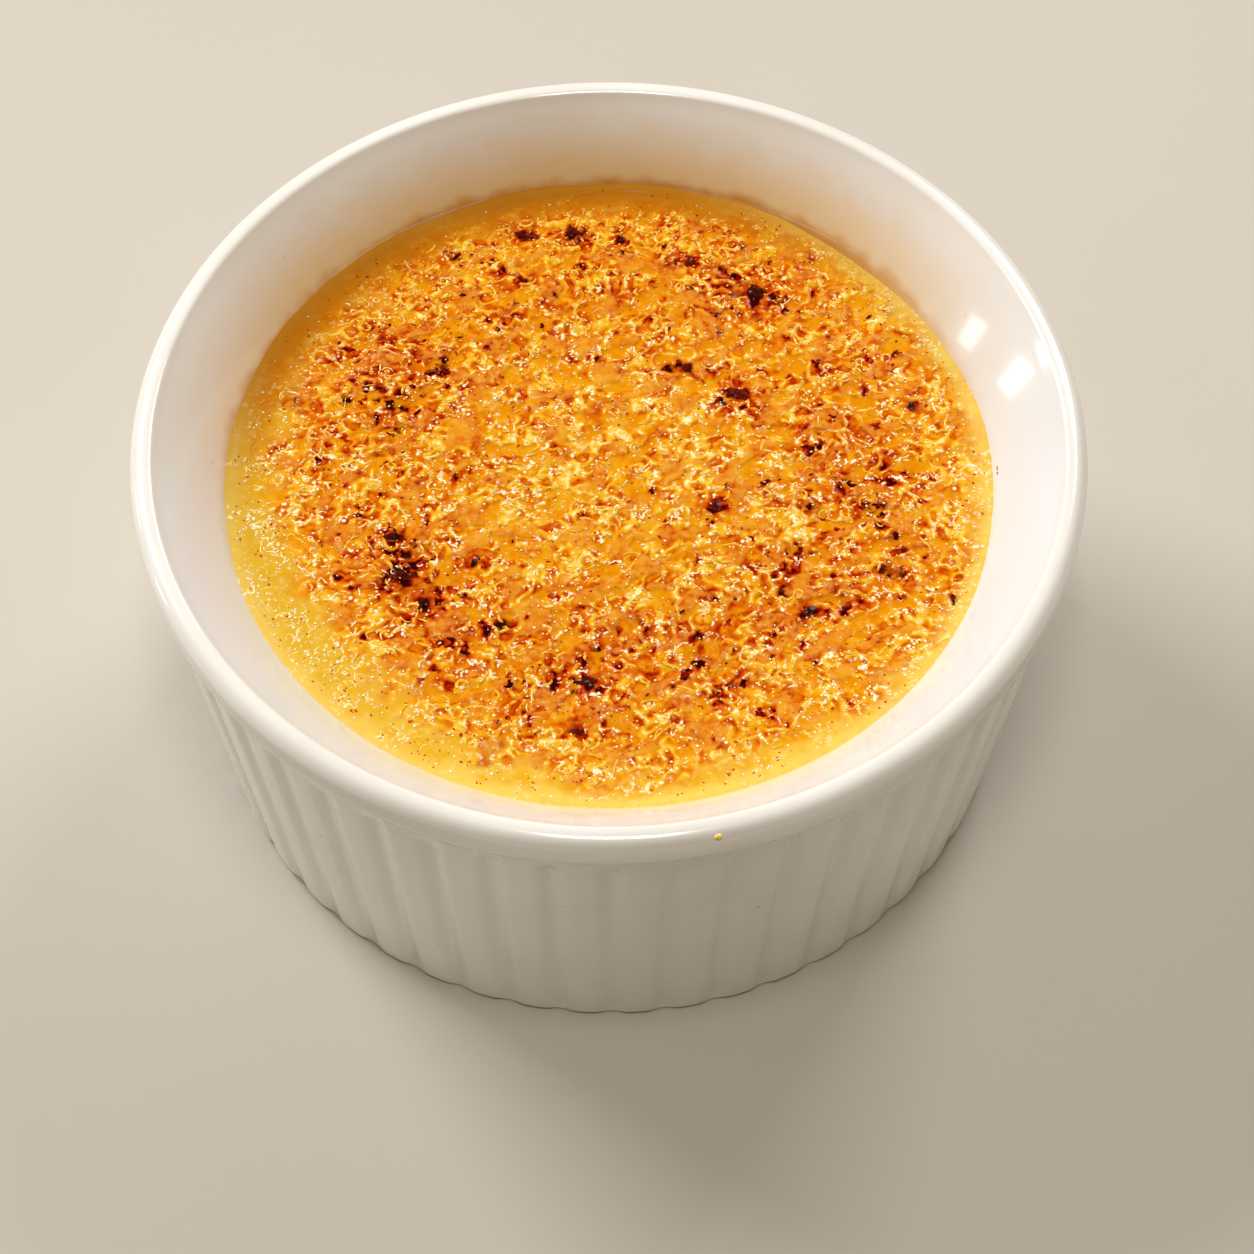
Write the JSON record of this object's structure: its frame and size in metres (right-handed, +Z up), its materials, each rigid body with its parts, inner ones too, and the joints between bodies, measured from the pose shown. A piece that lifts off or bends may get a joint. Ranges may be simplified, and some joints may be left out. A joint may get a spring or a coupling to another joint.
{
  "type": "creme brulee",
  "caption": "Creme brulee in its own dish: a custard with a browned sugar crust fills a round, fluted white porcelain ramekin with a smooth rim band, to a little below the rim.",
  "frame": {"origin": "middle of the foot ring, on the surface that the dish stands on", "axes": "+Z up along the dish's axis of symmetry; the side that faces the viewer in the picture is -Y"},
  "size_m": [0.1, 0.1, 0.046],
  "materials": {
    "porcelain": "smooth white glaze, glossy",
    "custard": "pale yellow custard under a glossy amber melted-sugar crust, mottled orange and brown, with black burnt specks"
  },
  "bodies": {
    "root": {"ramekin": "porcelain", "custard": "custard"}
  },
  "joints": []
}
